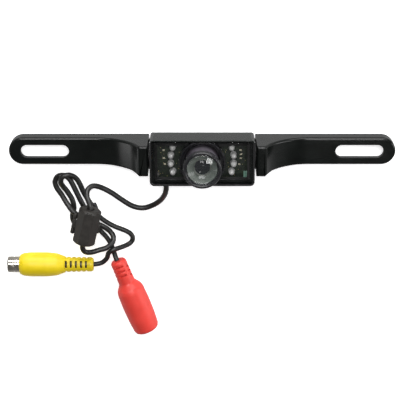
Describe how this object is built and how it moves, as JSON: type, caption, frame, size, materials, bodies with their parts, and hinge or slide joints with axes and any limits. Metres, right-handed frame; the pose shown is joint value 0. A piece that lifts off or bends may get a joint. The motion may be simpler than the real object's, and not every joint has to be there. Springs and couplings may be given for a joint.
{
  "type": "backup camera",
  "caption": "Number-plate bar camera: slotted bar, tilting housing with infrared lamps and central lens, thin cable with ferrite, video socket and power socket.",
  "frame": {"origin": "below the centre of the camera housing, in the plane of the mounting bar's back face", "axes": "+X along the bar, +Y towards the camera's top edge, +Z out of the camera's front"},
  "size_m": [0.2016, 0.1138, 0.0366],
  "materials": {
    "bar_plastic": "satin black moulded plastic with a fine grain",
    "housing_plastic": "semi-gloss black moulded plastic",
    "smoked_window": "clear smoked acrylic",
    "seal_rubber": "matte black rubber",
    "circuit_board": "solder mask",
    "lamp_resin": "clear resin",
    "chip_body": "small components",
    "sensor_body": "glossy",
    "screw_steel": "bright zinc",
    "gloss_black": "gloss black",
    "lens_glass": "coated clear glass",
    "insert_brass": "knurled brass",
    "connector_white": "natural nylon",
    "washer_nylon": "black nylon",
    "cable_jacket": "soft glossy vinyl",
    "sleeve_black": "heat-shrink sleeve",
    "ferrite_case": "matte dark grey plastic",
    "ferrite_core": "sintered ferrite",
    "yellow_vinyl": "moulded yellow vinyl",
    "red_vinyl": "moulded red vinyl",
    "nickel": "nickel plate",
    "socket_black": "black moulding",
    "insulator_white": "white insulator"
  },
  "bodies": {
    "bar": {"mounting_bar": "bar_plastic", "main_cable": "cable_jacket", "splice_sleeve": "sleeve_black", "video_lead": "cable_jacket", "power_lead": "cable_jacket", "ferrite_case_base": "ferrite_case", "ferrite_hinge_pin": "screw_steel", "ferrite_core_base": "ferrite_core", "video_socket_body": "yellow_vinyl", "video_socket_shell": "nickel", "video_socket_insulator": "insulator_white", "video_socket_contact": "nickel", "power_socket_body": "red_vinyl", "power_socket_insulator": "socket_black", "power_socket_spring": "nickel", "power_socket_pin": "nickel"},
    "camera": {"rear_housing": "housing_plastic", "front_window": "smoked_window", "window_gasket": "seal_rubber", "lamp_board": "circuit_board", "infrared_lamps": "lamp_resin", "lamp_resistors": "chip_body", "light_sensor": "sensor_body", "board_screws": "screw_steel", "light_shroud": "gloss_black", "lens_barrel": "housing_plastic", "barrel_seal": "seal_rubber", "lens_ring": "gloss_black", "front_glass": "lens_glass", "lens_cone": "gloss_black", "lens_cell": "gloss_black", "inner_lens": "lens_glass", "rear_lens": "lens_glass", "image_sensor": "gloss_black", "sensor_board": "circuit_board", "board_connector": "connector_white", "cable_connector": "connector_white", "inner_cable": "cable_jacket", "pivot_inserts": "insert_brass", "pivot_screws": "screw_steel", "friction_washers": "washer_nylon", "cable_gland": "seal_rubber"},
    "ferrite_lid": {"ferrite_case_lid": "ferrite_case", "ferrite_core_lid": "ferrite_core"}
  },
  "joints": [
    {"name": "camera_tilt", "type": "hinge", "parent": "bar", "child": "camera", "pos_m": [0, 0, 0.0125], "axis": [1, 0, 0], "range_deg": [-25, 25]},
    {"name": "ferrite_hinge", "type": "hinge", "parent": "bar", "child": "ferrite_lid", "pos_m": [-0.06647, -0.03704, 0.0118], "axis": [-0.225, -0.9744, 0], "range_deg": [0, 100]}
  ]
}
